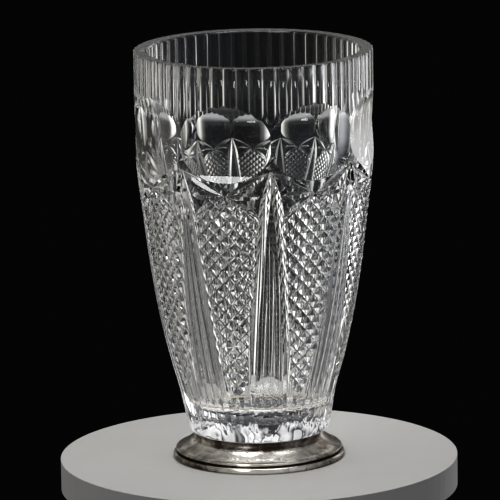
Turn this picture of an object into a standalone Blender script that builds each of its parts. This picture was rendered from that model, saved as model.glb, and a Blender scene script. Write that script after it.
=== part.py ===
"""A cut crystal vase cemented into a spun silver foot.

Run with blender --background --python part.py, or from Blender's text editor.
Metres, +Z up, origin at the centre of the foot's underside, where it stands.

The crystal is one turned blank with the cutter's wheels taken out of it:
56 flutes at the rim, a broad window below them at the top of each of 8
panels, and 8 ribs between mitre cuts that part the panels. Each window is the
cut of a wide wheel, flat across and hollow along. Below it each panel has a
six-armed star.
Each rib ends in a flat facet at the heel, and each panel in a short mitre cut.
The many fine crossed cuts that fill the panels are left off this model.
The foot is a spun shell with a bead wire round its edge. It is loaded with
plaster and closed with baize. The crystal is hollow underneath, and bedded in
the foot in cement that fills the hollow.
"""

import math

import bmesh
import bpy
from mathutils import Matrix, Vector

MM = 0.001

# The crystal blank
HEIGHT = 270 * MM
GLASS_BASE_Z = 16.2 * MM
GLASS_BASE_R = 41.0 * MM
HEEL_R = 47.2 * MM
HEEL_ROUND = 6.0 * MM
WALL = 9.0 * MM
FLOOR_Z = 36.0 * MM
FLOOR_FILLET = 14.0 * MM
LIP_INNER = 2.0 * MM  # how round the rim's inner edge is
LIP_OUTER = 0.6 * MM
HOLLOW_R = 37.0 * MM  # the hollow under the base, at its mouth
HOLLOW_TOP_R = 31.0 * MM
HOLLOW_TOP_Z = 30.0 * MM
TURN_STEPS = 56

# The top of the foot's collar, and the gap kept between neighbouring pieces
FOOT_TOP_Z = 17.4 * MM
GAP = 0.3 * MM
HEEL_Z = FOOT_TOP_Z + GAP + HEEL_ROUND

# Height and radius of the blank, from above the foot to the rim
STATIONS = [
    (HEEL_Z, HEEL_R),
    (43.4 * MM, 50.5 * MM),
    (71.4 * MM, 58.1 * MM),
    (112.7 * MM, 66.6 * MM),
    (159.4 * MM, 72.9 * MM),
    (209.5 * MM, 77.5 * MM),
    (HEIGHT, 77.6 * MM),
]

# The cut pattern
PANELS = 8
PANEL_ANGLE = 2 * math.pi / PANELS
FRONT = math.radians(-90)  # azimuth of the first rib, from +X
MITRE_SLOPE = math.tan(math.radians(60))  # half width of a mitre cut over its depth
CLEAR = 1.0 * MM  # how far a mitre cutter stands off the blank

FLUTES = 56
FLUTE_WHEEL_R = 10.4 * MM
FLUTE_DEPTH = 1.05 * MM
FLUTE_FULL_Z = 243 * MM  # the wheel is at full depth down to here
FLUTE_END_Z = 231 * MM
FLUTE_POINTS = 7

WINDOW_Z = 220.5 * MM
WINDOW_DEPTH = 6.2 * MM
WINDOW_WHEEL_R = 58 * MM  # the wheel's axis lies across the window
WINDOW_WHEEL_WIDTH = 66 * MM
WINDOW_SEGMENTS = 72

STAR_Z = 187 * MM
STAR_RISE = 16 * MM  # from the star's centre to the rib tops
STAR_DEPTH = 1.5 * MM
STAR_SIDE_ARM = 23 * MM
STAR_LOW_ARM = (22 * MM, -14 * MM)

RIB_TOP_Z = STAR_Z + STAR_RISE
RIB_FOOT_Z = 25 * MM
RIB_DEPTH = 1.9 * MM
# Half width between a rib's mitre cuts, at the share of its length from the top
RIB_HALF_WIDTHS = [
    (0.0, 0.4 * MM),
    (0.12, 4.0 * MM),
    (0.30, 7.3 * MM),
    (0.56, 10.6 * MM),
    (0.8, 12.2 * MM),
    (1.0, 13.0 * MM),
]

FACET_TOP_Z = 58 * MM  # where the facet at a rib's foot runs out
FACET_DEPTH = 1.4 * MM  # its depth at the heel
FACET_WIDTH = 26 * MM
BAR_TOP_Z = 52 * MM
BAR_FOOT_Z = 25 * MM
BAR_DEPTH = 1.1 * MM

# The foot
SHEET = 0.7 * MM
COLLAR_R = GLASS_BASE_R + GAP + SHEET
SEAT_TOP_Z = 13.4 * MM
SEAT_CORNER = 1.2 * MM  # how far the seat's underside ends inside the skirt's
BEAD_R = 2.1 * MM
BEAD_RING_R = 54.0 * MM
BEAD_FLAT = 0.85  # height of the wire's centre over its radius
BAIZE_R = 50.8 * MM
BAIZE_THICK = 0.9 * MM
BAIZE_Z = 0.6 * MM
LOADING_R = 50.9 * MM
# The skirt's outer side, from below the collar to its rolled lip
SKIRT = [
    (COLLAR_R, 15.2 * MM),
    (43.0 * MM, 13.8 * MM),
    (44.8 * MM, 12.2 * MM),
    (47.0 * MM, 10.6 * MM),
    (49.2 * MM, 9.0 * MM),
    (51.3 * MM, 7.5 * MM),
    (53.0 * MM, 6.7 * MM),
]
LIP = [
    (53.9 * MM, 6.4 * MM),
    (54.3 * MM, 5.8 * MM),
    (53.9 * MM, 5.2 * MM),
    (53.1 * MM, 4.9 * MM),
]
EDGE_R = 53.0 * MM  # the sheet's edge below the lip
EDGE_Z = 4.0 * MM


# ---------------------------------------------------------------- helpers


def clear_scene():
    for obj in list(bpy.data.objects):
        bpy.data.objects.remove(obj)


def collection(name):
    made = bpy.data.collections.new(name)
    bpy.context.scene.collection.children.link(made)
    return made


def material(name, colour, roughness, metallic=0.0, transmission=0.0, ior=1.5):
    made = bpy.data.materials.new(name)
    made.use_nodes = True
    shader = made.node_tree.nodes["Principled BSDF"]
    shader.inputs["Base Color"].default_value = (*colour, 1)
    shader.inputs["Roughness"].default_value = roughness
    shader.inputs["Metallic"].default_value = metallic
    shader.inputs["Transmission Weight"].default_value = transmission
    shader.inputs["IOR"].default_value = ior
    return made


def add_object(name, mesh, into, finish=None):
    made = bpy.data.objects.new(name, mesh)
    into.objects.link(made)
    if finish:
        mesh.materials.append(finish)
    return made


def spaced(start, end, count):
    return [start + (end - start) * i / (count - 1) for i in range(count)]


def between(stations, at):
    """A smooth curve through (x, y) stations that never overshoots, read at x."""
    at = min(max(at, stations[0][0]), stations[-1][0])
    pairs = list(zip(stations, stations[1:], strict=False))
    slopes = [(high[1] - low[1]) / (high[0] - low[0]) for low, high in pairs]
    tangents = [slopes[0]]
    for low, high in zip(slopes, slopes[1:], strict=False):
        tangents.append(0 if low * high <= 0 else 2 * low * high / (low + high))
    tangents.append(slopes[-1])
    i = next(i for i, (_, high) in enumerate(pairs) if at <= high[0])
    low, high = pairs[i]
    span = high[0] - low[0]
    t = (at - low[0]) / span
    return (
        (2 * t**3 - 3 * t**2 + 1) * low[1]
        + (t**3 - 2 * t**2 + t) * span * tangents[i]
        + (3 * t**2 - 2 * t**3) * high[1]
        + (t**3 - t**2) * span * tangents[i + 1]
    )


def arc(centre, radius, start, end, count):
    """Points (r, z) on an arc, angles in degrees from +r towards +z."""
    angles = [math.radians(a) for a in spaced(start, end, count)]
    return [
        (centre[0] + radius * math.cos(a), centre[1] + radius * math.sin(a)) for a in angles
    ]


def sheet_under(outer, thickness):
    """The inner side of a sheet whose outer side runs outwards and down."""
    inner = []
    for i, (r, z) in enumerate(outer):
        before, after = outer[max(i - 1, 0)], outer[min(i + 1, len(outer) - 1)]
        run, rise = after[0] - before[0], after[1] - before[1]
        length = math.hypot(run, rise)
        inner.append((r + rise / length * thickness, z - run / length * thickness))
    return inner


def turned(name, outline, into, finish):
    """A solid or a ring of revolution about Z from an (r, z) outline.

    The outline runs down its outer side. It is open where it begins and ends
    on the axis, and closed on itself where it keeps clear of the axis.
    """
    mesh = bpy.data.meshes.new(name)
    edges = [(i, i + 1) for i in range(len(outline) - 1)]
    if min(r for r, _ in outline) > 0:
        edges.append((len(outline) - 1, 0))
    mesh.from_pydata([(r, 0, z) for r, z in outline], edges, [])
    made = add_object(name, mesh, into, finish)
    screw = made.modifiers.new("turn", "SCREW")
    screw.axis = "Z"
    screw.steps = TURN_STEPS
    screw.render_steps = TURN_STEPS
    screw.use_merge_vertices = True
    screw.merge_threshold = 1e-5
    screw.use_smooth_shade = True
    return made


def cutter(name, work, into):
    """A bmesh made into an object that only cuts."""
    bmesh.ops.recalc_face_normals(work, faces=work.faces)
    mesh = bpy.data.meshes.new(name)
    work.to_mesh(mesh)
    work.free()
    made = add_object(name, mesh, into)
    made.hide_render = True
    made.display_type = "WIRE"
    return made


def turn_to(azimuth):
    return Matrix.Rotation(azimuth, 4, "Z")


# ---------------------------------------------------------------- the blank


def blank_radius(z):
    return between(STATIONS, z)


def blank_outline():
    """From the cavity's floor on the axis up, over the lip and down to the base."""
    fillet_z = FLOOR_Z + FLOOR_FILLET
    fillet_r = blank_radius(fillet_z) - WALL - FLOOR_FILLET
    floor = [(0, FLOOR_Z)] + arc((fillet_r, fillet_z), FLOOR_FILLET, 270, 350, 5)
    inner = [(blank_radius(z) - WALL, z) for z in spaced(78 * MM, 250 * MM, 6)]
    rim_r = blank_radius(HEIGHT)
    inner_lip = arc((rim_r - WALL + LIP_INNER, HEIGHT - LIP_INNER), LIP_INNER, 180, 90, 3)
    outer_lip = [(rim_r - LIP_OUTER, HEIGHT), (rim_r, HEIGHT - LIP_OUTER)]
    outer = [(blank_radius(z), z) for z in spaced(240 * MM, 46 * MM, 8)]
    heel = arc((HEEL_R - HEEL_ROUND, HEEL_Z), HEEL_ROUND, 0, -90, 5)
    base = [(GLASS_BASE_R, FOOT_TOP_Z + GAP), (GLASS_BASE_R, GLASS_BASE_Z)]
    hollow = [(HOLLOW_R, GLASS_BASE_Z), (HOLLOW_TOP_R, HOLLOW_TOP_Z), (0, HOLLOW_TOP_Z)]
    return floor + inner + inner_lip + outer_lip + outer + heel + base + hollow


# ---------------------------------------------------------------- the wheels


def on_blank(azimuth, along, z, depth):
    """A point of the cut pattern, its place along measured round the blank."""
    radius = blank_radius(z)
    angle = azimuth + along / radius
    return Vector(((radius - depth) * math.cos(angle), (radius - depth) * math.sin(angle), z))


def mitre_section(depth):
    """The V edge of a mitre wheel, its point at that depth, closed clear of the blank."""
    half = (depth + CLEAR) * MITRE_SLOPE
    return [(0, depth), (half, -CLEAR), (-half, -CLEAR)]


def flute_section(depth):
    """The round edge of the flute wheel, closed clear of the blank."""
    reach = math.acos(1 - (depth + CLEAR) / FLUTE_WHEEL_R)
    angles = spaced(-reach, reach, FLUTE_POINTS)
    low = depth - FLUTE_WHEEL_R
    return [(FLUTE_WHEEL_R * math.sin(a), low + FLUTE_WHEEL_R * math.cos(a)) for a in angles]


def add_sweep(work, azimuth, path, section):
    """A loft of a wheel's sections along a path of (along, z, depth) on the blank.

    Each section stands square to the path, and narrows where the cut is shallower.
    """
    rings = []
    for i, (along, z, depth) in enumerate(path):
        before, after = path[max(i - 1, 0)], path[min(i + 1, len(path) - 1)]
        run, rise = after[0] - before[0], after[1] - before[1]
        length = math.hypot(run, rise)
        ring = []
        for out, down in section(depth):
            across, up = -rise / length * out, run / length * out
            ring.append(work.verts.new(on_blank(azimuth, along + across, z + up, down)))
        rings.append(ring)
    count = len(rings[0])
    for first, second in zip(rings, rings[1:], strict=False):
        for i in range(count):
            j = (i + 1) % count
            work.faces.new((first[i], first[j], second[j], second[i]))
    work.faces.new(rings[0])
    work.faces.new(reversed(rings[-1]))


def mitre_cutter(name, first_azimuth, path, into):
    """The same mitre cut in each of the eight panels, or beside each rib."""
    work = bmesh.new()
    for i in range(PANELS):
        add_sweep(work, first_azimuth + PANEL_ANGLE * i, path, mitre_section)
    return cutter(name, work, into)


def star_arm(end, rise, fall):
    """A mitre from the star's centre to end, deepest from rise to fall."""
    path = []
    for t in spaced(0, 1, 5):
        share = min(1, t / rise, (1 - t) / (1 - fall))
        path.append((end[0] * t, STAR_Z + end[1] * t, STAR_DEPTH * share))
    return path


def star_cutters(into):
    reach = blank_radius(RIB_TOP_Z) * PANEL_ANGLE / 2
    made = []
    for side, hand in (("left", -1), ("right", 1)):
        arms = {
            "high": star_arm((hand * reach, STAR_RISE), 0.5, 0.6),
            "side": star_arm((hand * STAR_SIDE_ARM, 0), 0.6, 0.7),
            "low": star_arm((hand * STAR_LOW_ARM[0], STAR_LOW_ARM[1]), 0.5, 0.6),
        }
        for arm, path in arms.items():
            made.append(mitre_cutter(f"star_{arm}_{side}", FRONT + PANEL_ANGLE / 2, path, into))
    return made


def rib_cutters(into):
    """The two long mitre cuts that part a rib from the panels beside it."""
    heights = spaced(RIB_TOP_Z, RIB_FOOT_Z, 9)
    depths = [0.5 * MM, 1.7 * MM] + [RIB_DEPTH] * 6 + [0.5 * MM]
    made = []
    for side, hand in (("left", -1), ("right", 1)):
        path = []
        for z, depth in zip(heights, depths, strict=True):
            share = (RIB_TOP_Z - z) / (RIB_TOP_Z - RIB_FOOT_Z)
            path.append((hand * between(RIB_HALF_WIDTHS, share), z, depth))
        made.append(mitre_cutter(f"rib_{side}", FRONT, path, into))
    return made


def bar_cutter(into):
    """A short upright mitre cut at the foot of each panel."""
    depths = [0, BAR_DEPTH, BAR_DEPTH, 0]
    heights = spaced(BAR_TOP_Z, BAR_FOOT_Z, len(depths))
    path = [(0, z, depth) for z, depth in zip(heights, depths, strict=True)]
    return mitre_cutter("bar", FRONT + PANEL_ANGLE / 2, path, into)


def facet_cutter(into):
    """A flat cut at the foot of each rib, deepest at the heel."""
    low, high = HEEL_Z - HEEL_ROUND, FACET_TOP_Z
    heel_r = blank_radius(HEEL_Z) - FACET_DEPTH
    lean = math.atan2(blank_radius(high) - heel_r, high - HEEL_Z)
    size = Matrix.Diagonal((FACET_WIDTH, FACET_WIDTH, 2 * (high - low), 1))
    stand_off = Matrix.Translation((FACET_WIDTH / 2, 0, 0))
    place = Matrix.Translation((heel_r, 0, HEEL_Z)) @ Matrix.Rotation(lean, 4, "Y")
    work = bmesh.new()
    for i in range(PANELS):
        turn = turn_to(FRONT + PANEL_ANGLE * i)
        bmesh.ops.create_cube(work, size=1, matrix=turn @ place @ stand_off @ size)
    return cutter("facets", work, into)


def flute_cutters(into):
    """Upright round cuts into the rim, every second one in the same cutter."""
    path = [(0, HEIGHT + CLEAR, FLUTE_DEPTH), (0, FLUTE_FULL_Z, FLUTE_DEPTH)]
    path += [(0, (FLUTE_FULL_Z + FLUTE_END_Z) / 2, FLUTE_DEPTH * 0.6), (0, FLUTE_END_Z, 0)]
    made = []
    for start in range(2):
        work = bmesh.new()
        for i in range(start, FLUTES, 2):
            add_sweep(work, FRONT + 2 * math.pi * i / FLUTES, path, flute_section)
        made.append(cutter(f"flutes_{start}", work, into))
    return made


def window_cutters(into):
    """A broad wheel's cut at the top of each panel, every second one in the same cutter."""
    stand_off = blank_radius(WINDOW_Z) - WINDOW_DEPTH + WINDOW_WHEEL_R
    wheel = Matrix.Translation((stand_off, 0, WINDOW_Z)) @ Matrix.Rotation(math.pi / 2, 4, "X")
    made = []
    for start in range(2):
        work = bmesh.new()
        for i in range(start, PANELS, 2):
            bmesh.ops.create_cone(
                work,
                cap_ends=True,
                segments=WINDOW_SEGMENTS,
                radius1=WINDOW_WHEEL_R,
                radius2=WINDOW_WHEEL_R,
                depth=WINDOW_WHEEL_WIDTH,
                matrix=turn_to(FRONT + PANEL_ANGLE * (i + 0.5)) @ wheel,
            )
        made.append(cutter(f"windows_{start}", work, into))
    return made


def make_crystal(into, cutters, finish):
    """The blank less every wheel."""
    body = turned("crystal_body", blank_outline(), into, finish)
    wheels = flute_cutters(cutters) + window_cutters(cutters)
    wheels += star_cutters(cutters) + rib_cutters(cutters)
    wheels += [facet_cutter(cutters), bar_cutter(cutters)]
    for wheel in wheels:
        cut = body.modifiers.new("cut_" + wheel.name, "BOOLEAN")
        cut.operation = "DIFFERENCE"
        cut.solver = "EXACT"
        cut.object = wheel


# ---------------------------------------------------------------- the foot


def make_foot_shell(into, finish):
    """The spun shell: a seat inside a collar, and a flared skirt with a rolled lip."""
    inner_r = COLLAR_R - SHEET
    cup = [(0, SEAT_TOP_Z), (inner_r, SEAT_TOP_Z), (inner_r, FOOT_TOP_Z), (COLLAR_R, FOOT_TOP_Z)]
    under = sheet_under(SKIRT, SHEET)[2:]
    seat_z = SEAT_TOP_Z - SHEET
    seat = [(under[0][0] - SEAT_CORNER, seat_z), (0, seat_z)]
    edge = [(EDGE_R, EDGE_Z), (EDGE_R - SHEET, EDGE_Z)]
    turned("foot_shell", cup + SKIRT + LIP + edge + under[::-1] + seat, into, finish)


def make_bead_wire(into, finish):
    """The wire round the skirt's edge, worn flat where it stands."""
    flat = math.degrees(math.asin(BEAD_FLAT))
    section = arc((BEAD_RING_R, BEAD_R * BEAD_FLAT), BEAD_R, 180 + flat, -flat, 12)
    turned("foot_bead_wire", section, into, finish)


def make_cement_bed(into, finish):
    """The cement between the seat and the glass, with the plug that fills the hollow."""
    low, high = SEAT_TOP_Z + GAP, GLASS_BASE_Z - GAP
    edge = COLLAR_R - SHEET - GAP
    plug_top = HOLLOW_TOP_Z - GAP
    plug = [(0, plug_top), (HOLLOW_TOP_R - 2 * GAP, plug_top), (HOLLOW_R - 2 * GAP, high)]
    turned("cement_bed", plug + [(edge, high), (edge, low), (0, low)], into, finish)


def make_loading(into, finish):
    """The plaster cast inside the skirt, clear of the shell, bead and baize."""
    low = BAIZE_Z + BAIZE_THICK + GAP
    top = SEAT_TOP_Z - SHEET - GAP
    side = [
        (r, z) for r, z in sheet_under(SKIRT, SHEET + 2 * GAP)[2:] if z < top and r < LOADING_R
    ]
    side += [(LOADING_R, side[-1][1] - GAP), (LOADING_R, low)]
    outline = [(0, top), (side[0][0] - SEAT_CORNER, top)] + side + [(0, low)]
    turned("foot_loading", outline, into, finish)


def make_baize(into, finish):
    """The baize disc that closes the foot, clear of the table."""
    top = BAIZE_Z + BAIZE_THICK
    outline = [(0, top), (BAIZE_R, top), (BAIZE_R, BAIZE_Z), (0, BAIZE_Z)]
    turned("baize_disc", outline, into, finish)


def main():
    clear_scene()
    vase = collection("cut_crystal_vase")
    cutters = collection("cutters")
    make_crystal(vase, cutters, material("crystal", (0.97, 0.98, 0.99), 0.02, 0, 1.0, 1.54))
    silver = material("silver", (0.72, 0.70, 0.67), 0.22, 1.0)
    make_foot_shell(vase, silver)
    make_bead_wire(vase, silver)
    make_cement_bed(vase, material("cement", (0.86, 0.85, 0.82), 0.7))
    make_loading(vase, material("plaster", (0.80, 0.78, 0.73), 0.85))
    make_baize(vase, material("baize", (0.05, 0.16, 0.10), 0.95))


main()
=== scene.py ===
"""The looks of a cut crystal vase on a silver foot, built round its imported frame.

The crystal is turned as a fine blank and cut with the same wheels as the frame.
It also gets the crossed cuts in its panels and the slender flutes on its ribs,
which the frame leaves off. Lengths are metres.
"""

import math
import random

import bmesh
import bpy
from mathutils import Matrix, Vector, noise


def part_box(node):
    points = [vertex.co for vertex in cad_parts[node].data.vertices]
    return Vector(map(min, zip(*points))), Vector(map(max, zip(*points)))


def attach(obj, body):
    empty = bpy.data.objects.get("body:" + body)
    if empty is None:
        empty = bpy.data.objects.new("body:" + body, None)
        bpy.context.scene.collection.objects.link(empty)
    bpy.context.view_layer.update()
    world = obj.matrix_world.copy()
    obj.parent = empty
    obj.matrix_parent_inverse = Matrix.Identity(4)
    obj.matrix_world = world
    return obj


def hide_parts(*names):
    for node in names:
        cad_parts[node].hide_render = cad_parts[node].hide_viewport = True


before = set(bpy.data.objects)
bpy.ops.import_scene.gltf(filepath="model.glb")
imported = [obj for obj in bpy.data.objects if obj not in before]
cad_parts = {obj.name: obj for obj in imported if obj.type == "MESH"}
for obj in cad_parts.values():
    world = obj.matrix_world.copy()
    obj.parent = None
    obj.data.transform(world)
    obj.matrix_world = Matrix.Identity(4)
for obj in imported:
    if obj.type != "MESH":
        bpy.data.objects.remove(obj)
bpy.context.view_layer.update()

MM = 0.001

# The crystal blank
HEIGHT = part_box("crystal_body")[1][2]
GLASS_BASE_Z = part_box("crystal_body")[0][2]
GLASS_BASE_R = 41.0 * MM
HEEL_R = 47.2 * MM
HEEL_ROUND = 6.0 * MM
COLLAR_TOP_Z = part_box("foot_shell")[1][2]
GAP = 0.3 * MM  # kept between neighbouring pieces of the frame
HEEL_Z = COLLAR_TOP_Z + GAP + HEEL_ROUND
WALL = 9.0 * MM
FLOOR_Z = 36.0 * MM
FLOOR_FILLET = 14.0 * MM
LIP_INNER = 2.0 * MM  # how round the rim's inner edge is
LIP_OUTER = 0.6 * MM
HOLLOW_R = 37.0 * MM
HOLLOW_TOP_R = 31.0 * MM
HOLLOW_TOP_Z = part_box("cement_bed")[1][2] + GAP
INNER_Z = (57 * MM, 264 * MM)  # where the inner wall runs between its curves
OUTER_Z = (262 * MM, 27 * MM)
BLANK_STEPS = 224
STATIONS = [
    (HEEL_Z, HEEL_R),
    (43.4 * MM, 50.5 * MM),
    (71.4 * MM, 58.1 * MM),
    (112.7 * MM, 66.6 * MM),
    (159.4 * MM, 72.9 * MM),
    (209.5 * MM, 77.5 * MM),
    (HEIGHT, 77.6 * MM),
]

# The cut pattern
PANELS = 8
PANEL_ANGLE = 2 * math.pi / PANELS
FRONT = math.radians(-90)
MITRE_SLOPE = math.tan(math.radians(60))
CLEAR = 1.0 * MM

FLUTES = 56
FLUTE_WHEEL_R = 10.4 * MM
FLUTE_DEPTH = 1.05 * MM
FLUTE_END_Z = 231 * MM
FLUTE_RUN_OUT = 60 * MM  # radius of the curve that the wheel leaves the glass on
FLUTE_OVERRUN = 4 * MM
FLUTE_LIFT = 0.5 * MM  # how far off the glass each flute's wheel ends

WINDOW_Z = 220.5 * MM
WINDOW_DEPTH = 6.2 * MM
WINDOW_WHEEL_R = 58 * MM  # the wheel's axis lies across the window
WINDOW_WHEEL_WIDTH = 66 * MM

STAR_Z = 187 * MM
STAR_RISE = 16 * MM
STAR_DEPTH = 1.5 * MM
STAR_SIDE_ARM = 23 * MM
STAR_LOW_ARM = (22 * MM, -14 * MM)

RIB_TOP_Z = STAR_Z + STAR_RISE
RIB_FOOT_Z = 25 * MM
RIB_DEPTH = 1.9 * MM
RIB_HALF_WIDTHS = [
    (0.0, 0.4 * MM),
    (0.12, 4.0 * MM),
    (0.30, 7.3 * MM),
    (0.56, 10.6 * MM),
    (0.8, 12.2 * MM),
    (1.0, 13.0 * MM),
]

RIB_FLUTES = 3  # slender upright flutes that fill each rib
RIB_FLUTE_WHEEL_R = 7.5 * MM
RIB_FLUTE_TOP_Z = 182 * MM
RIB_FLUTE_FOOT_Z = 27 * MM
RIB_FLUTE_RUN_OUT = 8 * MM
RIB_FLUTE_OVERLAP = 0.05 * MM  # how much deeper than just side by side

FACET_TOP_Z = 58 * MM
FACET_DEPTH = 1.4 * MM
FACET_WIDTH = 26 * MM
BAR_TOP_Z = 52 * MM
BAR_FOOT_Z = 25 * MM
BAR_DEPTH = 1.1 * MM

PANEL_TOP_DROP = 3.5 * MM  # of the crossed cuts' top below the star's middle
PANEL_TOP_FLAT = 2 * MM  # half the width over which that top is level

DIAMOND_WIDTH = 9.2 * MM
DIAMOND_HEIGHT = 9.4 * MM
DIAMOND_DEPTH = 1.6 * MM
DIAMOND_SLOPE = math.tan(math.radians(61))
MITRE_FLAT = 0.32 * MM  # half the width that the wheel's point has worn to
HAND = 0.16 * MM  # how far a hand-held cut strays
DIAMOND_FOOT_Z = 54 * MM
DIAMOND_RUNS = 40  # to each side of a panel's middle, most of which miss the panel
DIAMOND_ASIDE = 100 * MM  # how far aside a run starts
DIAMOND_RUN = 260 * MM
DIAMOND_STEP = 0.4 * MM
DIAMOND_SHORTEST = 3 * MM
DIAMOND_SPAN = 9 * MM  # of a run, between two sections of its cut


# ---------------------------------------------------------------- helpers


def spaced(start, end, count):
    return [start + (end - start) * i / (count - 1) for i in range(count)]


def between(stations, at):
    """A smooth curve through (x, y) stations that never overshoots, read at x."""
    at = min(max(at, stations[0][0]), stations[-1][0])
    pairs = list(zip(stations, stations[1:], strict=False))
    slopes = [(high[1] - low[1]) / (high[0] - low[0]) for low, high in pairs]
    tangents = [slopes[0]]
    for low, high in zip(slopes, slopes[1:], strict=False):
        tangents.append(0 if low * high <= 0 else 2 * low * high / (low + high))
    tangents.append(slopes[-1])
    i = next(i for i, (_, high) in enumerate(pairs) if at <= high[0])
    low, high = pairs[i]
    span = high[0] - low[0]
    t = (at - low[0]) / span
    return (
        (2 * t**3 - 3 * t**2 + 1) * low[1]
        + (t**3 - 2 * t**2 + t) * span * tangents[i]
        + (3 * t**2 - 2 * t**3) * high[1]
        + (t**3 - t**2) * span * tangents[i + 1]
    )


def arc(centre, radius, start, end, count):
    angles = [math.radians(a) for a in spaced(start, end, count)]
    return [(centre[0] + radius * math.cos(a), centre[1] + radius * math.sin(a)) for a in angles]


def add_object(name, mesh, finish=None):
    made = bpy.data.objects.new(name, mesh)
    bpy.context.scene.collection.objects.link(made)
    if finish:
        mesh.materials.append(finish)
    return made


def mesh_from(work, name):
    """A mesh of a finished bmesh, which is then freed."""
    mesh = bpy.data.meshes.new(name)
    work.to_mesh(mesh)
    work.free()
    return mesh


def turned_mesh(name, outline, steps, shape=None):
    """A closed mesh turned about Z from an (r, z) outline that runs down its outer side.

    The outline is open where it begins and ends on the axis. shape may move a
    point (x, y, z) a little, for dents and crinkles.
    """
    closed = min(r for r, _ in outline) > 0
    work = bmesh.new()
    columns = []
    poles = {}
    for j in range(steps):
        angle = 2 * math.pi * j / steps
        column = []
        for i, (r, z) in enumerate(outline):
            if r == 0:
                if i not in poles:
                    poles[i] = work.verts.new((0, 0, z))
                column.append(poles[i])
            else:
                column.append(work.verts.new((r * math.cos(angle), r * math.sin(angle), z)))
        columns.append(column)
    count = len(outline) if closed else len(outline) - 1
    for j in range(steps):
        here, there = columns[j], columns[(j + 1) % steps]
        for i in range(count):
            k = (i + 1) % len(outline)
            ring = [here[i], here[k], there[k], there[i]]
            corners = list(dict.fromkeys(ring))
            work.faces.new(corners)
    if shape:
        for vert in work.verts:
            vert.co = shape(vert.co.copy())
    bmesh.ops.recalc_face_normals(work, faces=work.faces)
    return mesh_from(work, name)


def smooth(mesh, degrees):
    mesh.shade_smooth()
    mesh.set_sharp_from_angle(angle=math.radians(degrees))


# ---------------------------------------------------------------- the blank


def blank_radius(z):
    return between(STATIONS, z)


def blank_outline():
    """The blank's (r, z) section, from the cavity floor up, over the rim and down to the hollow."""
    fillet_z = FLOOR_Z + FLOOR_FILLET
    fillet_r = blank_radius(fillet_z) - WALL - FLOOR_FILLET
    floor = [(0, FLOOR_Z)] + [(fillet_r * t, FLOOR_Z) for t in (0.33, 0.66)]
    floor += arc((fillet_r, fillet_z), FLOOR_FILLET, 270, 352, 14)
    inner = [(blank_radius(z) - WALL, z) for z in spaced(*INNER_Z, 34)]
    rim_r = blank_radius(HEIGHT)
    inner_lip = arc((rim_r - WALL + LIP_INNER, HEIGHT - LIP_INNER), LIP_INNER, 180, 90, 6)
    outer_lip = arc((rim_r - LIP_OUTER, HEIGHT - LIP_OUTER), LIP_OUTER, 90, 0, 4)
    outer = [(blank_radius(z), z) for z in spaced(*OUTER_Z, 40)]
    heel = arc((HEEL_R - HEEL_ROUND, HEEL_Z), HEEL_ROUND, 0, -90, 10)
    base = [(GLASS_BASE_R, COLLAR_TOP_Z + GAP), (GLASS_BASE_R, GLASS_BASE_Z)]
    hollow = [(HOLLOW_R, GLASS_BASE_Z), (HOLLOW_TOP_R, HOLLOW_TOP_Z), (0, HOLLOW_TOP_Z)]
    return floor + inner + inner_lip + outer_lip + outer + heel + base + hollow


# ---------------------------------------------------------------- the wheels


def on_blank(azimuth, along, z, depth):
    """A point that far below the blank's surface, and that far round it from an azimuth."""
    radius = blank_radius(z)
    angle = azimuth + along / radius
    return Vector(((radius - depth) * math.cos(angle), (radius - depth) * math.sin(angle), z))


def add_sweep(work, azimuth, path, section):
    """A loft of sections along a path of (along, z, depth) on the blank.

    section gives, for a depth, the (out, down) corners of the wheel's edge.
    """
    rings = []
    for i, (along, z, depth) in enumerate(path):
        before, after = path[max(i - 1, 0)], path[min(i + 1, len(path) - 1)]
        run, rise = after[0] - before[0], after[1] - before[1]
        length = math.hypot(run, rise)
        ring = []
        for out, down in section(depth):
            across, up = -rise / length * out, run / length * out
            ring.append(work.verts.new(on_blank(azimuth, along + across, z + up, down)))
        rings.append(ring)
    count = len(rings[0])
    for first, second in zip(rings, rings[1:], strict=False):
        for i in range(count):
            j = (i + 1) % count
            work.faces.new((first[i], first[j], second[j], second[i]))
    work.faces.new(rings[0])
    work.faces.new(reversed(rings[-1]))


def mitre_section(depth):
    """The V-shaped edge of a mitre wheel."""
    half = (depth + CLEAR) * MITRE_SLOPE
    return [(0, depth), (half, -CLEAR), (-half, -CLEAR)]


def worn_mitre_section(depth):
    """A mitre wheel whose point has worn flat."""
    half = MITRE_FLAT + (depth + CLEAR) * DIAMOND_SLOPE
    return [(-MITRE_FLAT, depth), (MITRE_FLAT, depth), (half, -CLEAR), (-half, -CLEAR)]


def round_section(radius):
    """The edge of a round wheel, an arc of that radius, closed above the blank."""

    def section(depth):
        top = depth + CLEAR
        reach = math.acos(max(-1, 1 - top / radius))
        corners = []
        for a in spaced(-reach, reach, 13):
            corners.append((radius * math.sin(a), depth - radius * (1 - math.cos(a))))
        return corners

    return section


def cutter(name, azimuths, paths, section):
    """One object that takes the same wheel's cuts out of the blank at each azimuth."""
    work = bmesh.new()
    for azimuth in azimuths:
        for path in paths:
            add_sweep(work, azimuth, path, section)
    bmesh.ops.recalc_face_normals(work, faces=work.faces)
    return add_object(name, mesh_from(work, name))


def around(count, first=0.0):
    """Evenly spaced azimuths, the first of them so many spaces past the front."""
    return [FRONT + 2 * math.pi * (i + first) / count for i in range(count)]


def star_arm(end, rise, fall):
    """A cut from the star's middle to an end (along, up), full depth from rise to fall."""
    path = []
    for t in spaced(0, 1, 11):
        share = min(1, t / rise, (1 - t) / (1 - fall))
        share = math.sin(share * math.pi / 2)
        path.append((end[0] * t, STAR_Z + end[1] * t, STAR_DEPTH * share - 0.02 * MM))
    return path


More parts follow.
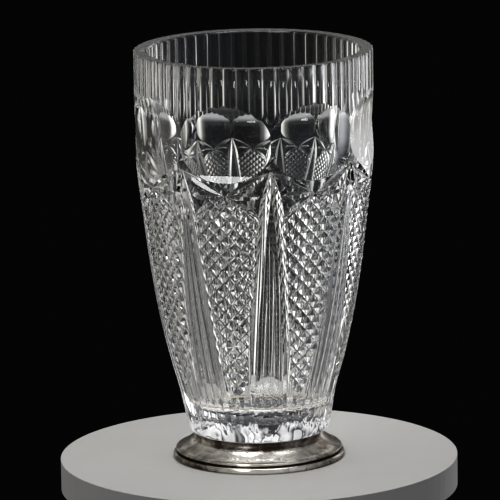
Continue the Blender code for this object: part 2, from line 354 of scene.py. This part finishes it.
def star_cutters():
    reach = blank_radius(RIB_TOP_Z) * PANEL_ANGLE / 2
    made = []
    for hand in (-1, 1):
        arms = [
            star_arm((hand * reach, STAR_RISE), 0.55, 0.55),
            star_arm((hand * STAR_SIDE_ARM, 0), 0.7, 0.72),
            star_arm((hand * STAR_LOW_ARM[0], STAR_LOW_ARM[1]), 0.5, 0.6),
        ]
        for i, arm in enumerate(arms):
            name = f"star_{i}_{hand + 1}"
            made.append(cutter(name, around(PANELS, 0.5), [arm], mitre_section))
    return made


def rib_centre(z):
    """How far from a rib's middle the cuts on its two sides are."""
    share = (RIB_TOP_Z - z) / (RIB_TOP_Z - RIB_FOOT_Z)
    return between(RIB_HALF_WIDTHS, share)


def rib_cutters():
    """The long mitre cuts that part the ribs from the panels."""
    made = []
    for hand in (-1, 1):
        path = []
        for z in spaced(RIB_TOP_Z, RIB_FOOT_Z, 40):
            share = (RIB_TOP_Z - z) / (RIB_TOP_Z - RIB_FOOT_Z)
            depth = RIB_DEPTH * min(1, 0.2 + share / 0.14, 0.2 + (1 - share) / 0.08)
            path.append((hand * rib_centre(z), z, depth))
        made.append(cutter(f"rib_{hand + 1}", around(PANELS), [path], mitre_section))
    return made


def facet_depth(along, z):
    """How far the flat facet at a rib's foot lies below the blank."""
    heel_r = blank_radius(HEEL_Z) - FACET_DEPTH
    share = (z - HEEL_Z) / (FACET_TOP_Z - HEEL_Z)
    facet_r = heel_r + (blank_radius(FACET_TOP_Z) - heel_r) * share
    return max(0, blank_radius(z) - math.hypot(facet_r, along))


def rib_flute_cutters():
    """Fine flutes side by side across each rib, from below its point to its foot."""
    made = []
    for k in range(RIB_FLUTES):
        across = (2 * k + 1) / RIB_FLUTES - 1
        path = []
        for z in spaced(RIB_FLUTE_TOP_Z, RIB_FLUTE_FOOT_Z, 26):
            half_width = (rib_centre(z) - 0.9 * RIB_DEPTH * MITRE_SLOPE) / RIB_FLUTES
            depth = RIB_FLUTE_WHEEL_R - math.sqrt(RIB_FLUTE_WHEEL_R**2 - half_width**2)
            along = across * half_width * RIB_FLUTES
            lift = FLUTE_LIFT * max(0, 1 - (z - RIB_FLUTE_FOOT_Z) / RIB_FLUTE_RUN_OUT)
            path.append((along, z, depth + RIB_FLUTE_OVERLAP + facet_depth(along, z) - lift))
        section = round_section(RIB_FLUTE_WHEEL_R)
        made.append(cutter(f"rib_flute_{k}", around(PANELS), [path], section))
    return made


def panel_half_width(z):
    """Half the width left between two ribs' mitre cuts, less their own half width."""
    return blank_radius(z) * PANEL_ANGLE / 2 - rib_centre(z) - 0.75 * RIB_DEPTH * MITRE_SLOPE


def panel_top(along):
    """Where the star's low arms bound the crossed cuts."""
    slope = STAR_LOW_ARM[1] / STAR_LOW_ARM[0]
    return STAR_Z - PANEL_TOP_DROP + max(0, abs(along) - PANEL_TOP_FLAT) * slope


def diamond_paths(hand, parity):
    """Every second run of crossed cuts that leans to that hand, cut off at the panel's edge."""
    length = math.hypot(DIAMOND_WIDTH, DIAMOND_HEIGHT)
    draw = random.Random(3 * hand + parity)
    run, rise = hand * DIAMOND_WIDTH / length, DIAMOND_HEIGHT / length
    paths = []
    for k in range(parity - DIAMOND_RUNS, DIAMOND_RUNS + 1, 2):
        start = (k + 0.5) * DIAMOND_WIDTH - hand * DIAMOND_ASIDE
        inside = []
        for i in range(int(DIAMOND_RUN / DIAMOND_STEP)):
            z = DIAMOND_FOOT_Z + rise * i * DIAMOND_STEP
            along = start + run * i * DIAMOND_STEP
            if abs(along) < panel_half_width(z) and z < panel_top(along):
                inside.append((along, z))
        reach = len(inside) * DIAMOND_STEP
        if reach > DIAMOND_SHORTEST:
            count = max(3, 1 + round(reach / DIAMOND_SPAN))
            (x0, z0), (x1, z1) = inside[0], inside[-1]
            x0, x1 = x0 + draw.uniform(-HAND, HAND), x1 + draw.uniform(-HAND, HAND)
            depth = DIAMOND_DEPTH + draw.uniform(-0.5, 0.5) * HAND
            path = []
            for t in spaced(0, 1, count):
                path.append((x0 + (x1 - x0) * t, z0 + (z1 - z0) * t, depth))
            paths.append(path)
    return paths


def diamond_cutters():
    made = []
    for hand in (-1, 1):
        for parity in range(2):
            name = f"diamonds_{hand + 1}_{parity}"
            paths = diamond_paths(hand, parity)
            made.append(cutter(name, around(PANELS, 0.5), paths, worn_mitre_section))
    return made


def flute_cutters():
    path = [(0, HEIGHT + FLUTE_OVERRUN, FLUTE_DEPTH), (0, HEIGHT - FLUTE_OVERRUN, FLUTE_DEPTH)]
    climb = FLUTE_DEPTH + FLUTE_LIFT
    run_out = math.sqrt(2 * FLUTE_RUN_OUT * climb)
    for t in spaced(0, 1, 9):
        path.append((0, FLUTE_END_Z + run_out * (1 - t), FLUTE_DEPTH - t * t * climb))
    made = []
    for start in range(2):
        azimuths = around(FLUTES)[start::2]
        made.append(cutter(f"flutes_{start}", azimuths, [path], round_section(FLUTE_WHEEL_R)))
    return made


def window_cutters():
    """A broad wheel's cut at the top of each panel, every second one in the same cutter."""
    stand_off = blank_radius(WINDOW_Z) - WINDOW_DEPTH + WINDOW_WHEEL_R
    wheel = Matrix.Translation((stand_off, 0, WINDOW_Z)) @ Matrix.Rotation(math.pi / 2, 4, "X")
    made = []
    for start in range(2):
        work = bmesh.new()
        for azimuth in around(PANELS, 0.5)[start::2]:
            bmesh.ops.create_cone(
                work,
                cap_ends=True,
                segments=360,
                radius1=WINDOW_WHEEL_R,
                radius2=WINDOW_WHEEL_R,
                depth=WINDOW_WHEEL_WIDTH,
                matrix=Matrix.Rotation(azimuth, 4, "Z") @ wheel,
            )
        name = f"windows_{start}"
        made.append(add_object(name, mesh_from(work, name)))
    return made


def bar_cutter():
    """The short upright cut at each panel's foot."""
    path = []
    for t in spaced(0, 1, 13):
        depth = BAR_DEPTH * min(1, 4 * t, 4 * (1 - t)) - 0.02 * MM
        path.append((0, BAR_TOP_Z + (BAR_FOOT_Z - BAR_TOP_Z) * t, depth))
    return cutter("bar", around(PANELS, 0.5), [path], mitre_section)


def facet_cutter():
    """The flat facet at each rib's foot."""
    low, high = HEEL_Z - HEEL_ROUND, FACET_TOP_Z
    heel_r = blank_radius(HEEL_Z) - FACET_DEPTH
    lean = math.atan2(blank_radius(high) - heel_r, high - HEEL_Z)
    size = Matrix.Diagonal((FACET_WIDTH, FACET_WIDTH, 2 * (high - low), 1))
    stand_off = Matrix.Translation((FACET_WIDTH / 2, 0, 0))
    place = Matrix.Translation((heel_r, 0, HEEL_Z)) @ Matrix.Rotation(lean, 4, "Y")
    work = bmesh.new()
    for azimuth in around(PANELS):
        turn = Matrix.Rotation(azimuth, 4, "Z")
        bmesh.ops.create_cube(work, size=1, matrix=turn @ place @ stand_off @ size)
    return add_object("facets", mesh_from(work, "facets"))


def make_crystal(finish):
    """The turned blank with every wheel's cuts taken out of it."""
    mesh = turned_mesh("cut_crystal", blank_outline(), BLANK_STEPS)
    body = add_object("cut_crystal", mesh, finish)
    wheels = flute_cutters() + window_cutters() + diamond_cutters()
    wheels += star_cutters() + rib_cutters() + [facet_cutter(), bar_cutter()]
    wheels += rib_flute_cutters()
    for wheel in wheels:
        cut = body.modifiers.new(wheel.name, "BOOLEAN")
        cut.operation = "DIFFERENCE"
        cut.solver = "MANIFOLD"
        cut.object = wheel
    bpy.context.view_layer.update()
    graph = bpy.context.evaluated_depsgraph_get()
    finished = bpy.data.meshes.new_from_object(body.evaluated_get(graph))
    body.modifiers.clear()
    body.data = finished
    for wheel in wheels:
        bpy.data.objects.remove(wheel)
    smooth(finished, 14)
    return body


# ---------------------------------------------------------------- materials

EDGE_SOFTNESS = 0.45 * MM  # radius that acid polishing leaves on every cut edge
GLASS = (0.985, 0.99, 0.99)
GLASS_IOR = 1.545
TIDE = (0.80, 0.72, 0.50)  # the stain that standing water left inside
TIDE_Z = 50 * MM
TIDE_R = 45.5 * MM
CEMENT_SHADE_Z = 28.5 * MM  # painted shade: the cement is painted dark above this height
SILVER_CLEAN = (0.86, 0.83, 0.77)
SILVER_BROWN = (0.11, 0.085, 0.06)
SILVER_BLACK = (0.035, 0.03, 0.025)
GROOVE_Z = 4.5 * MM  # the dark line between the lip and the bead


class Nodes:
    """A node tree, with short ways to add the nodes that these looks are made of.

    Each way takes numbers, colours or sockets, and gives the new node's output.
    """

    def __init__(self, tree):
        self.nodes = tree.nodes
        self.links = tree.links

    def feed(self, socket, value):
        """Link a socket to another, or give it a colour or a number of its own."""
        if isinstance(value, bpy.types.NodeSocket):
            self.links.new(value, socket)
        elif isinstance(value, tuple):
            socket.default_value = (*value, 1)
        else:
            socket.default_value = value

    def add(self, kind, inputs, output=0, **settings):
        """A node of that kind, with inputs fed by their names or places."""
        made = self.nodes.new(kind)
        for name, value in settings.items():
            setattr(made, name, value)
        for name, value in inputs.items():
            self.feed(made.inputs[name], value)
        return made.outputs[output]

    def split(self, vector):
        made = self.nodes.new("ShaderNodeSeparateXYZ")
        self.links.new(vector, made.inputs[0])
        return made.outputs

    def maths(self, operation, first, second=0.0, clamp=False):
        inputs = {0: first, 1: second}
        return self.add("ShaderNodeMath", inputs, operation=operation, use_clamp=clamp)

    def distance(self, value, centre):
        return self.maths("ABSOLUTE", self.maths("SUBTRACT", value, centre))

    def ranged(self, value, low, high, start=0.0, end=1.0):
        """A value read from low to high as start to end, held at both."""
        inputs = {"Value": value, "From Min": low, "From Max": high, "To Min": start, "To Max": end}
        return self.add("ShaderNodeMapRange", inputs)

    def mixed(self, share, first, second, blend="MIX"):
        return self.add("ShaderNodeMixRGB", {0: share, 1: first, 2: second}, blend_type=blend)

    def noise(self, at, scale, detail=3.0, roughness=0.55, distortion=0.0):
        inputs = {"Vector": at, "Scale": scale, "Detail": detail}
        inputs |= {"Roughness": roughness, "Distortion": distortion}
        return self.add("ShaderNodeTexNoise", inputs)

    def bump(self, height, strength, depth):
        inputs = {"Height": height, "Strength": strength, "Distance": depth}
        return self.add("ShaderNodeBump", inputs)

    def ramp(self, value, stations, reach):
        """Levels or colours read at stations (place, level) from -reach to reach."""
        made = self.nodes.new("ShaderNodeValToRGB")
        made.color_ramp.interpolation = "EASE"
        steps = made.color_ramp.elements
        while len(steps) < len(stations):
            steps.new(0.5)
        for step, (place, level) in zip(steps, stations, strict=True):
            step.position = (place + reach) / (2 * reach)
            step.color = (*level, 1) if isinstance(level, tuple) else (level, level, level, 1)
        self.links.new(value, made.inputs[0])
        return made.outputs[0]


class Look(Nodes):
    """A Principled material in the making."""

    def __init__(self, name):
        self.material = bpy.data.materials.new(name)
        self.material.use_nodes = True
        super().__init__(self.material.node_tree)

    def at(self):
        return self.add("ShaderNodeTexCoord", {}, "Object")

    def places(self):
        """Object coordinates, with their x, z and the distance from the vase's axis."""
        at = self.at()
        x, y, z = self.split(at)
        squares = self.maths("ADD", self.maths("MULTIPLY", x, x), self.maths("MULTIPLY", y, y))
        return at, x, z, self.maths("SQRT", squares)

    def finished(self, inputs):
        """The material, once its shader's inputs are fed."""
        for name, value in inputs.items():
            self.feed(self.nodes["Principled BSDF"].inputs[name], value)
        return self.material


def crystal_material():
    """Lead crystal, acid polished, with a ground rim top and a tide line inside."""
    look = Look("crystal")
    at, _, z, r = look.places()
    ground = look.ranged(z, HEIGHT - 0.3 * MM, HEIGHT - 0.05 * MM)
    grain = look.ranged(look.noise(at, 900), 0.3, 0.7, 0.12, 0.3)
    wander = look.ranged(look.noise(at, 70, 2), 0, 1, -2 * MM, 2 * MM)
    off = look.distance(look.maths("ADD", z, wander), TIDE_Z)
    line = look.ranged(off, 0.3 * MM, 2.2 * MM, 1.0, 0.0)
    inside = look.ranged(r, TIDE_R, TIDE_R + 1 * MM, 1.0, 0.0)
    stain = look.maths("MULTIPLY", look.maths("MULTIPLY", line, inside), 0.55)
    return look.finished(
        {
            "Base Color": look.mixed(stain, GLASS, TIDE),
            "Transmission Weight": 1,
            "IOR": GLASS_IOR,
            "Roughness": look.maths("MULTIPLY", ground, grain),
            "Normal": look.add("ShaderNodeBevel", {"Radius": EDGE_SOFTNESS}, samples=6),
        }
    )


def silver_material():
    """Old silver, clean on the front of the flare. Painted shade darkens both sides, and a painted
    dark reflection darkens the neck under the glass on top of its tarnish; tarnish also lies in
    patches and spots, and a dark line runs in the groove.
    """
    look = Look("silver")
    at, x, z, r = look.places()
    # painted shade: the neck and collar under the glass are darkened as a painted dark reflection,
    # on top of their tarnish
    neck = look.ranged(z, 10.6 * MM, 13.2 * MM)
    # painted shade: darker towards both sides as the foot is seen from the front, which leaves the
    # front of the flare bright
    sides = look.ranged(look.distance(x, -5 * MM), 13 * MM, 41 * MM, 0.0, 0.95)
    patches = look.ranged(look.noise(at, 75, 6, 0.65, 0.6), 0.35, 0.7, -0.3, 0.3)
    spots = look.ranged(look.noise(at, 520, 2, 0.5), 0.66, 0.74, 0.0, 0.55)
    groove = look.ranged(look.distance(z, GROOVE_Z), 0.35 * MM, 0.8 * MM, 1.0, 0.0)
    recess = look.ranged(r, 53.5 * MM, 54.5 * MM, 1.0, 0.0)
    groove = look.maths("MULTIPLY", groove, recess)
    # tarnish and painted shade together: the patches and spots are tarnish, the neck and sides
    # painted shade, and the groove a dark line
    tarnish_and_painted_shade = look.maths("ADD", look.maths("MAXIMUM", neck, sides), patches)
    tarnish_and_painted_shade = look.maths("ADD", look.maths("ADD", tarnish_and_painted_shade, spots), groove, clamp=True)
    brown = look.mixed(look.noise(at, 210), SILVER_BLACK, SILVER_BROWN)
    smears = look.ranged(look.noise(at, 130, 5, 0.7, 1.5), 0.3, 0.7, -0.04, 0.08)
    ring = look.add("ShaderNodeCombineXYZ", {0: r, 1: z})
    spun = look.add("ShaderNodeTexNoise", {"Vector": ring, "Scale": 2600}, noise_dimensions="2D")
    fine = look.maths("ADD", spun, look.noise(at, 330, 5, 0.7))
    return look.finished(
        {
            "Base Color": look.mixed(tarnish_and_painted_shade, SILVER_CLEAN, brown),
            "Metallic": 1,
            "Roughness": look.maths("ADD", look.ranged(tarnish_and_painted_shade, 0.0, 1.0, 0.08, 0.3), smears),
            "Normal": look.bump(fine, 0.07, 0.03 * MM),
        }
    )


def cement_material(name, light, dark, swirl, gloss):
    """Bedding cement: two shades folded into each other, crinkled where it meets the glass, and
    painted dark above a ragged height as painted shade.
    """
    look = Look(name)
    at, _, z, _ = look.places()
    folds = look.noise(at, swirl, 2, 0.5, 2.4)
    bands = look.ranged(look.maths("FRACT", look.maths("MULTIPLY", folds, 6)), 0.4, 1.0, 0.0, 0.95)
    clouds = look.ranged(look.noise(at, 1.7 * swirl), 0.45, 0.75, 0.0, 0.6)
    ragged = look.ranged(look.noise(at, 95, 2), 0.3, 0.7, -2.2 * MM, 2.2 * MM)
    ragged = look.maths("ADD", z, ragged)
    # painted shade: above a ragged height the cement is painted dark
    painted_shade = look.ranged(ragged, CEMENT_SHADE_Z, CEMENT_SHADE_Z + 0.6 * MM, 0.0, 0.98)
    shade = look.maths("MAXIMUM", look.maths("ADD", bands, clouds, clamp=True), painted_shade)
    return look.finished(
        {
            "Base Color": look.mixed(shade, light, dark),
            "Roughness": look.ranged(clouds, 0.0, 1.0, gloss, gloss + 0.3),
            "Normal": look.bump(folds, 0.9, 1.2 * MM),
        }
    )


def plaster_material():
    """Cast plaster, clouded and pitted."""
    look = Look("plaster")
    at = look.at()
    cloud = look.noise(at, 60, 5)
    return look.finished(
        {
            "Base Color": look.mixed(cloud, (0.82, 0.8, 0.74), (0.66, 0.62, 0.54)),
            "Roughness": look.ranged(cloud, 0, 1, 0.75, 0.95),
            "Normal": look.bump(look.noise(at, 900, 4), 0.5, 0.3 * MM),
        }
    )


def baize_material():
    """Green baize, its nap brushed in patches and worn pale near the edge."""
    look = Look("baize")
    at, _, _, r = look.places()
    nap = look.noise(at, 2600, 4, 0.7, 0.8)
    brushed = look.noise(at, 45, 4)
    green = look.mixed(brushed, (0.028, 0.1, 0.055), (0.05, 0.155, 0.09))
    green = look.mixed(look.ranged(nap, 0.3, 0.75, 0.0, 0.6), green, (0.09, 0.2, 0.125))
    worn = look.ranged(r, 44 * MM, 51 * MM, 0.0, 0.5)
    return look.finished(
        {
            "Base Color": look.mixed(worn, green, (0.16, 0.2, 0.14)),
            "Roughness": look.ranged(brushed, 0, 1, 0.85, 1.0),
            "Sheen Weight": 0.35,
            "Sheen Roughness": 0.5,
            "Normal": look.bump(nap, 0.8, 0.25 * MM),
        }
    )


def floor_material():
    """Pale painted board, with a faint unevenness."""
    look = Look("pale_floor")
    cloud = look.noise(look.at(), 9)
    return look.finished(
        {
            "Base Color": look.mixed(cloud, (0.38, 0.375, 0.365), (0.34, 0.335, 0.325)),
            "Roughness": look.ranged(cloud, 0, 1, 0.5, 0.65),
        }
    )


# ---------------------------------------------------------------- the foot

FOOT_STEPS = 256
SHEET = 0.7 * MM
COLLAR_R = GLASS_BASE_R + GAP + SHEET
SEAT_TOP_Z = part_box("cement_bed")[0][2] - GAP
# Height and radius of the skirt's outer side, from its rolled lip to the collar
SKIRT = [
    (6.7 * MM, 53.0 * MM),
    (7.5 * MM, 51.3 * MM),
    (9.0 * MM, 49.2 * MM),
    (10.6 * MM, 47.0 * MM),
    (12.2 * MM, 44.8 * MM),
    (13.8 * MM, 43.0 * MM),
    (15.2 * MM, COLLAR_R),
]
LIP_RING_R = 53.4 * MM
LIP_RING_Z = 5.8 * MM
LIP_R = 0.9 * MM
EDGE_R = 53.0 * MM
EDGE_Z = 4.0 * MM
BEAD_R = 2.1 * MM
BEAD_RING_R = 54.0 * MM
BEAD_FLAT = 0.85
BAIZE_R = 50.8 * MM
DENTS = 26
DENT_REACH = (1.6, 4.5)  # millimetres
DENT_DEPTH = (0.05, 0.2)
CEMENT_PRESS = 0.35 * MM  # how far the cement laps into the glass, so that it shows bright there


def sheet_under(outer, thickness):
    """The inner side of a sheet whose outer side runs outwards and down."""
    inner = []
    for i, (r, z) in enumerate(outer):
        before, after = outer[max(i - 1, 0)], outer[min(i + 1, len(outer) - 1)]
        run, rise = after[0] - before[0], after[1] - before[1]
        length = math.hypot(run, rise)
        inner.append((r + rise / length * thickness, z - run / length * thickness))
    return inner


def dented(seed):
    """Small shallow dents and a slow unevenness, the same on every run."""
    draw = random.Random(seed)
    spots = []
    for _ in range(DENTS):
        angle, height = draw.uniform(-math.pi, math.pi), draw.uniform(6.5, 13) * MM
        radius = between(SKIRT, height)
        spot = Vector((radius * math.cos(angle), radius * math.sin(angle), height))
        spots.append((spot, draw.uniform(*DENT_REACH) * MM, draw.uniform(*DENT_DEPTH) * MM))

    def shape(point):
        inward = Vector((-point.x, -point.y, 0))
        if inward.length < 40 * MM or point.z > 14.5 * MM:
            return point
        inward.normalize()
        moved = 0.06 * MM * noise.noise(point * 90)
        for spot, reach, depth in spots:
            moved += depth * math.exp(-((point - spot).length / reach) ** 2)
        return point + inward * moved

    return shape


def make_foot_shell(finish):
    """The spun sheet: a cup for the glass, the skirt, its rolled lip and the edge under it."""
    inner_r = COLLAR_R - SHEET
    top = COLLAR_TOP_Z
    round_over = SHEET / 2
    cup = [(0, SEAT_TOP_Z), (inner_r * 0.6, SEAT_TOP_Z), (inner_r, SEAT_TOP_Z)]
    cup += arc((inner_r + round_over, top - round_over), round_over, 180, 0, 7)
    skirt = [(between(SKIRT, z), z) for z in spaced(15.2 * MM, 6.7 * MM, 30)]
    lip = arc((LIP_RING_R, LIP_RING_Z), LIP_R, 62, -90, 9)
    edge = [(EDGE_R, EDGE_Z), (EDGE_R - SHEET, EDGE_Z)]
    under = sheet_under(skirt, SHEET)[8::3]
    seat = [(0, SEAT_TOP_Z - SHEET)]
    outline = cup + skirt + lip + edge + under[::-1] + seat
    mesh = turned_mesh("silver_shell", outline, FOOT_STEPS, dented(7))
    smooth(mesh, 35)
    return add_object("silver_shell", mesh, finish)


def make_bead_wire(finish):
    """The wire, worn flat underneath and rubbed a little uneven."""
    flat = math.degrees(math.asin(BEAD_FLAT))
    section = arc((BEAD_RING_R, BEAD_R * BEAD_FLAT), BEAD_R, 180 + flat, -flat, 28)

    def shape(point):
        if point.z < 0.1 * MM:
            return point
        inward = Vector((-point.x, -point.y, 0)).normalized()
        return point + inward * 0.07 * MM * (1 + noise.noise(point * 120))

    mesh = turned_mesh("silver_bead", section, FOOT_STEPS, shape)
    smooth(mesh, 35)
    return add_object("silver_bead", mesh, finish)


def make_cement(finish):
    """The bed and the plug, pressed against the glass and crinkled where they touch it."""
    low = SEAT_TOP_Z + 0.1 * MM
    plug_z = HOLLOW_TOP_Z + CEMENT_PRESS
    film_z = GLASS_BASE_Z + 0.3 * MM
    plug = [(HOLLOW_TOP_R * t, plug_z) for t in spaced(0, 0.97, 34)]
    plug += [(HOLLOW_TOP_R + 0.2 * MM, plug_z - 0.4 * MM)]
    side = zip(spaced(HOLLOW_TOP_R, HOLLOW_R, 16), spaced(plug_z - MM, film_z, 16), strict=True)
    plug += [(r + CEMENT_PRESS, z) for r, z in side]
    film = [(r, film_z) for r in spaced(HOLLOW_R + 1.2 * MM, GLASS_BASE_R - 0.1 * MM, 5)]
    edge = [(GLASS_BASE_R + 0.15 * MM, GLASS_BASE_Z), (GLASS_BASE_R + 0.15 * MM, low), (0, low)]

    def shape(point):
        if point.z < GLASS_BASE_Z + 0.1 * MM:
            return point
        folds = noise.turbulence(point * 190, 4, True, noise_basis="PERLIN_ORIGINAL")
        outward = Vector((point.x, point.y, 0))
        outward = outward.normalized() if outward.length > HOLLOW_TOP_R * 0.97 else Vector()
        lift = Vector((0, 0, 1)) if not outward.length else outward * 0.8 + Vector((0, 0, 0.3))
        return point + lift * (folds - 0.55) * 0.5 * MM

    mesh = turned_mesh("cement", plug + film + edge, 360, shape)
    smooth(mesh, 60)
    return add_object("cement", mesh, finish)


def make_cement_fillet(finish):
    """The bead of old cement squeezed out between the collar and the glass."""
    heel = (HEEL_R - HEEL_ROUND, HEEL_Z)
    within = arc(heel, HEEL_ROUND - 0.25 * MM, -62, -90, 7)
    below = arc(heel, HEEL_ROUND + 0.12 * MM, -90, -66, 6)
    start = [(GLASS_BASE_R + 0.05 * MM, COLLAR_TOP_Z + 0.05 * MM)]
    outline = within + [(GLASS_BASE_R + 0.05 * MM, HEEL_Z - HEEL_ROUND + 0.25 * MM)] + start + below

    def shape(point):
        return point + Vector((0, 0, 0.1 * MM)) * noise.noise(point * 260)

    mesh = turned_mesh("cement_fillet", outline[::-1], 256, shape)
    smooth(mesh, 60)
    return add_object("cement_fillet", mesh, finish)


def make_baize(finish):
    """A felt disc cut by hand, with a soft edge."""
    low, high = (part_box("baize_disc")[i][2] for i in range(2))
    top = [(BAIZE_R * t, high) for t in spaced(0, 0.97, 30)]
    rounded = arc((BAIZE_R - 0.45 * MM, (low + high) / 2), (high - low) / 2, 80, -80, 6)
    bottom = [(BAIZE_R * t, low) for t in spaced(0.97, 0, 30)]

    def shape(point):
        wave = noise.noise(Vector((point.x, point.y, 0)) * 130)
        point.z += (0.1 * wave - 0.1) * MM if point.z > low + 0.1 * MM else 0.1 * (wave + 1) * MM
        size = 1 - 0.004 * (1 + noise.noise(Vector((point.x, point.y, 0)) * 60))
        return Vector((point.x * size, point.y * size, point.z))

    mesh = turned_mesh("baize", top + rounded + bottom, 160, shape)
    smooth(mesh, 60)
    return add_object("baize", mesh, finish)


# ---------------------------------------------------------------- the stage

CAMERA_AZIMUTH = math.radians(7.7)
CAMERA_REACH = 3.6
CAMERA_HEIGHT = 0.8925
CAMERA_ROLL = math.radians(0.875)
AIM_Z = 0.1369
AIM_LEFT = 0.0039
LENS = 407
FLOOR_R = 0.13


def make_camera():
    data = bpy.data.cameras.new("camera")
    data.lens = LENS
    data.sensor_width = 36
    data.clip_end = 50
    camera = bpy.data.objects.new("camera", data)
    bpy.context.scene.collection.objects.link(camera)
    side = Vector((math.cos(CAMERA_AZIMUTH), -math.sin(CAMERA_AZIMUTH), 0))
    place = Vector((-math.sin(CAMERA_AZIMUTH), -math.cos(CAMERA_AZIMUTH), 0)) * CAMERA_REACH
    place.z = CAMERA_HEIGHT
    aim = Vector((0, 0, AIM_Z)) - side * AIM_LEFT
    turn = (aim - place).to_track_quat("-Z", "Y").to_matrix().to_4x4()
    camera.matrix_world = Matrix.Translation(place) @ turn @ Matrix.Rotation(-CAMERA_ROLL, 4, "Z")
    bpy.context.scene.camera = camera


def area_light(name, place, aim, size, power):
    data = bpy.data.lights.new(name, "AREA")
    data.shape = "RECTANGLE"
    data.size, data.size_y = size
    data.energy = power
    made = bpy.data.objects.new(name, data)
    bpy.context.scene.collection.objects.link(made)
    place, aim = Vector(place), Vector(aim)
    turn = (aim - place).to_track_quat("-Z", "Y").to_matrix().to_4x4()
    made.matrix_world = Matrix.Translation(place) @ turn


# The room round the vase: degrees from straight behind, and the light from there
ROOM_ROUND = [
    (-180, (0.08, 0.08, 0.08)),
    (-120, (0.1, 0.1, 0.1)),
    (-85, (0.22, 0.215, 0.205)),
    (-58, (0.58, 0.565, 0.53)),
    (-42, (0.16, 0.16, 0.155)),
    (-30, (0.3, 0.29, 0.27)),
    (-24, (0.8, 0.78, 0.73)),
    (-19, (0.12, 0.12, 0.115)),
    (-15, (0.012, 0.012, 0.011)),
    (15, (0.012, 0.012, 0.011)),
    (19, (0.12, 0.12, 0.12)),
    (25, (0.88, 0.87, 0.85)),
    (32, (1.6, 1.6, 1.6)),
    (41, (0.7, 0.7, 0.71)),
    (52, (0.12, 0.12, 0.13)),
    (75, (0.38, 0.38, 0.4)),
    (100, (0.1, 0.1, 0.11)),
    (120, (0.18, 0.2, 0.24)),
    (180, (0.08, 0.08, 0.08)),
]
# Degrees above the horizon, how much of that light comes, and how much from the ceiling
ROOM_UP = [(-90, 0.02), (-45, 0.05), (-28, 0.4), (-12, 0.9), (8, 1.0), (40, 0.6), (90, 0.3)]
CEILING_UP = [(-90, 0.0), (2, 0.0), (12, 0.3), (32, 0.35), (50, 0.12), (90, 0.5)]


def make_world():
    """A dim room: dark behind the vase and below it, lighter on both sides and overhead."""
    world = bpy.data.worlds.new("studio")
    bpy.context.scene.world = world
    world.use_nodes = True
    room = Nodes(world.node_tree)
    facing = room.add("ShaderNodeTexCoord", {}, "Generated")
    turn = {"Vector": facing, "Rotation": Vector((0, 0, CAMERA_AZIMUTH))}
    x, y, z = room.split(room.add("ShaderNodeMapping", turn))
    angle = room.ranged(room.maths("ARCTAN2", x, y), -math.pi, math.pi)
    climb = room.ranged(room.maths("ARCSINE", z), -math.pi / 2, math.pi / 2)
    walls = room.ramp(angle, ROOM_ROUND, 180)
    walls = room.mixed(1.0, walls, room.ramp(climb, ROOM_UP, 90), "MULTIPLY")
    light = room.mixed(1.0, walls, room.ramp(climb, CEILING_UP, 90), "ADD")
    room.feed(room.nodes["Background"].inputs["Color"], light)


def make_stage():
    outline = [(0, 0), (FLOOR_R, 0), (FLOOR_R, -0.02), (0, -0.02)]
    floor = add_object("floor", turned_mesh("floor", outline, 96))
    floor.data.materials.append(floor_material())
    work = bmesh.new()
    bmesh.ops.create_grid(work, x_segments=1, y_segments=1, size=1)
    mesh = mesh_from(work, "backdrop")
    place = Matrix.Translation((0.75, 5, -0.9)) @ Matrix.Rotation(math.pi / 2, 4, "X")
    mesh.transform(place @ Matrix.Diagonal((0.8, 1.0, 1, 1)))
    dark = Look("dark_cloth").finished({"Base Color": (0.003, 0.003, 0.003), "Roughness": 0.95})
    add_object("backdrop", mesh, dark)
    area_light("key", (-1.0, -1.6, 1.5), (0, 0, 0.12), (0.6, 0.6), 9)
    area_light("top", (0.05, 0.1, 1.7), (0, 0, 0.1), (1.1, 0.9), 12)
    bpy.context.scene.view_settings.view_transform = "Standard"
    bpy.context.scene.view_settings.look = "High Contrast"


make_camera()
make_world()
make_stage()
silver = silver_material()
old_cement = cement_material("old_cement", (0.62, 0.57, 0.46), (0.3, 0.26, 0.19), 260, 0.5)
bright_cement = cement_material("bright_cement", (0.86, 0.86, 0.87), (0.02, 0.02, 0.025), 30, 0.25)
pieces = [
    (make_crystal(crystal_material()), "crystal_body", "crystal"),
    (make_foot_shell(silver), "foot_shell", "silver"),
    (make_bead_wire(silver), "foot_bead_wire", "silver"),
    (make_cement(bright_cement), "cement_bed", "cement"),
    (make_cement_fillet(old_cement), "cement_bed", "cement"),
    (make_baize(baize_material()), "baize_disc", "baize"),
]
for piece, node, slot in pieces:
    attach(piece, "root")
    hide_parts(node)
pieces[0][0].visible_shadow = False  # crystal lets the light through to its foot
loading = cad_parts["foot_loading"]
loading.data.materials.clear()
loading.data.materials.append(plaster_material())
